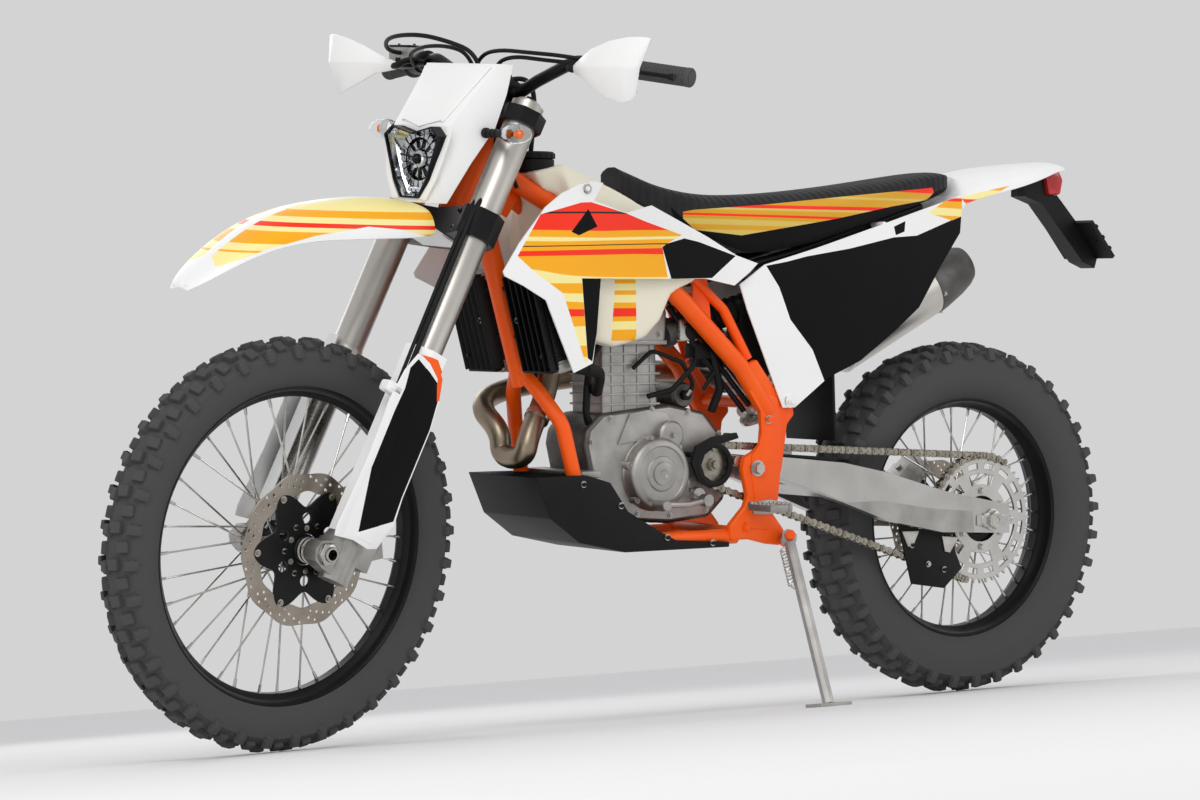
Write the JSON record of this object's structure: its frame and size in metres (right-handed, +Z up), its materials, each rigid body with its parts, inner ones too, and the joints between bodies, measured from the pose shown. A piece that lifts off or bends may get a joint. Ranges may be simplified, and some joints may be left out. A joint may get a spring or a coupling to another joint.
{
  "type": "enduro motorcycle",
  "caption": "Off-road motorcycle with long-travel fork, spoked knobby wheels, slim seat and tank, parked on its side stand with the bars turned a little.",
  "frame": {"origin": "middle of the bounding box on the ground, parked on the side stand", "axes": "+X ahead, +Y to the rider's left, +Z up"},
  "size_m": [2.1882, 0.8522, 1.299],
  "materials": {
    "black_alloy": "black anodised",
    "black_plastic": "grained moulded plastic",
    "cast_alloy": "cast and blasted",
    "cream_tank": "translucent moulded plastic",
    "dark_paint": "satin paint",
    "grip_rubber": "moulded rubber",
    "header_steel": "heat tinted",
    "lens": "clear",
    "machined_alloy": "machined",
    "orange_paint": "powder coat",
    "red_lens": "translucent red",
    "seat_cover": "ribbed cover over foam",
    "steel": "bright steel",
    "tyre_rubber": "moulded rubber",
    "white_plastic": "glossy moulded plastic"
  },
  "bodies": {
    "chassis": {"frame": "orange_paint", "subframe": "dark_paint", "swingarm": "cast_alloy", "rear_axle": "steel", "rear_shock": "white_plastic", "engine": "cast_alloy", "engine_covers": "cast_alloy", "intake": "black_plastic", "exhaust_header": "header_steel", "muffler": "cast_alloy", "radiators": "black_plastic", "shrouds": "white_plastic", "fuel_tank": "cream_tank", "fuel_cap": "black_plastic", "seat": "seat_cover", "side_panels": "white_plastic", "rear_fender": "white_plastic", "tail_light": "red_lens", "plate_holder": "black_plastic", "skid_plate": "black_plastic", "foot_controls": "cast_alloy", "rear_caliper": "cast_alloy", "front_sprocket": "steel", "chain": "steel", "chain_guards": "black_plastic"},
    "steering": {"triple_clamps": "black_alloy", "fork_tubes": "machined_alloy", "fork_lowers": "cast_alloy", "fork_guards": "white_plastic", "front_axle": "steel", "front_caliper": "cast_alloy", "front_fender": "white_plastic", "headlight_mask": "white_plastic", "headlight": "lens", "turn_signals": "black_plastic", "handlebar": "dark_paint", "grips": "grip_rubber", "hand_controls": "black_alloy", "handguards": "white_plastic", "control_cables": "black_plastic"},
    "front_wheel": {"front_tyre": "tyre_rubber", "front_rim": "black_alloy", "front_spokes": "steel", "front_hub": "black_alloy", "front_disc": "steel"},
    "rear_wheel": {"rear_tyre": "tyre_rubber", "rear_rim": "black_alloy", "rear_spokes": "steel", "rear_hub": "black_alloy", "rear_disc": "steel", "rear_sprocket": "machined_alloy"},
    "side_stand": {"side_stand": "cast_alloy"}
  },
  "joints": [
    {"name": "steering_turn", "type": "hinge", "parent": "chassis", "child": "steering", "pos_m": [0.36911, -0.03774, 0.96965], "axis": [-0.437, 0.1252, 0.8907], "range_deg": [-51, 33]},
    {"name": "front_wheel_spin", "type": "hinge", "parent": "steering", "child": "front_wheel", "pos_m": [0.74543, -0.11549, 0.34451], "axis": [-0.1407, 0.9686, -0.2052], "continuous": true},
    {"name": "rear_wheel_spin", "type": "hinge", "parent": "chassis", "child": "rear_wheel", "pos_m": [-0.73506, -0.12642, 0.33867], "axis": [0, 0.9903, -0.1392], "continuous": true},
    {"name": "side_stand_fold", "type": "hinge", "parent": "chassis", "child": "side_stand", "pos_m": [-0.23587, -0.00556, 0.30764], "axis": [0.2528, 0.878, 0.4065], "range_deg": [0, 95]}
  ]
}
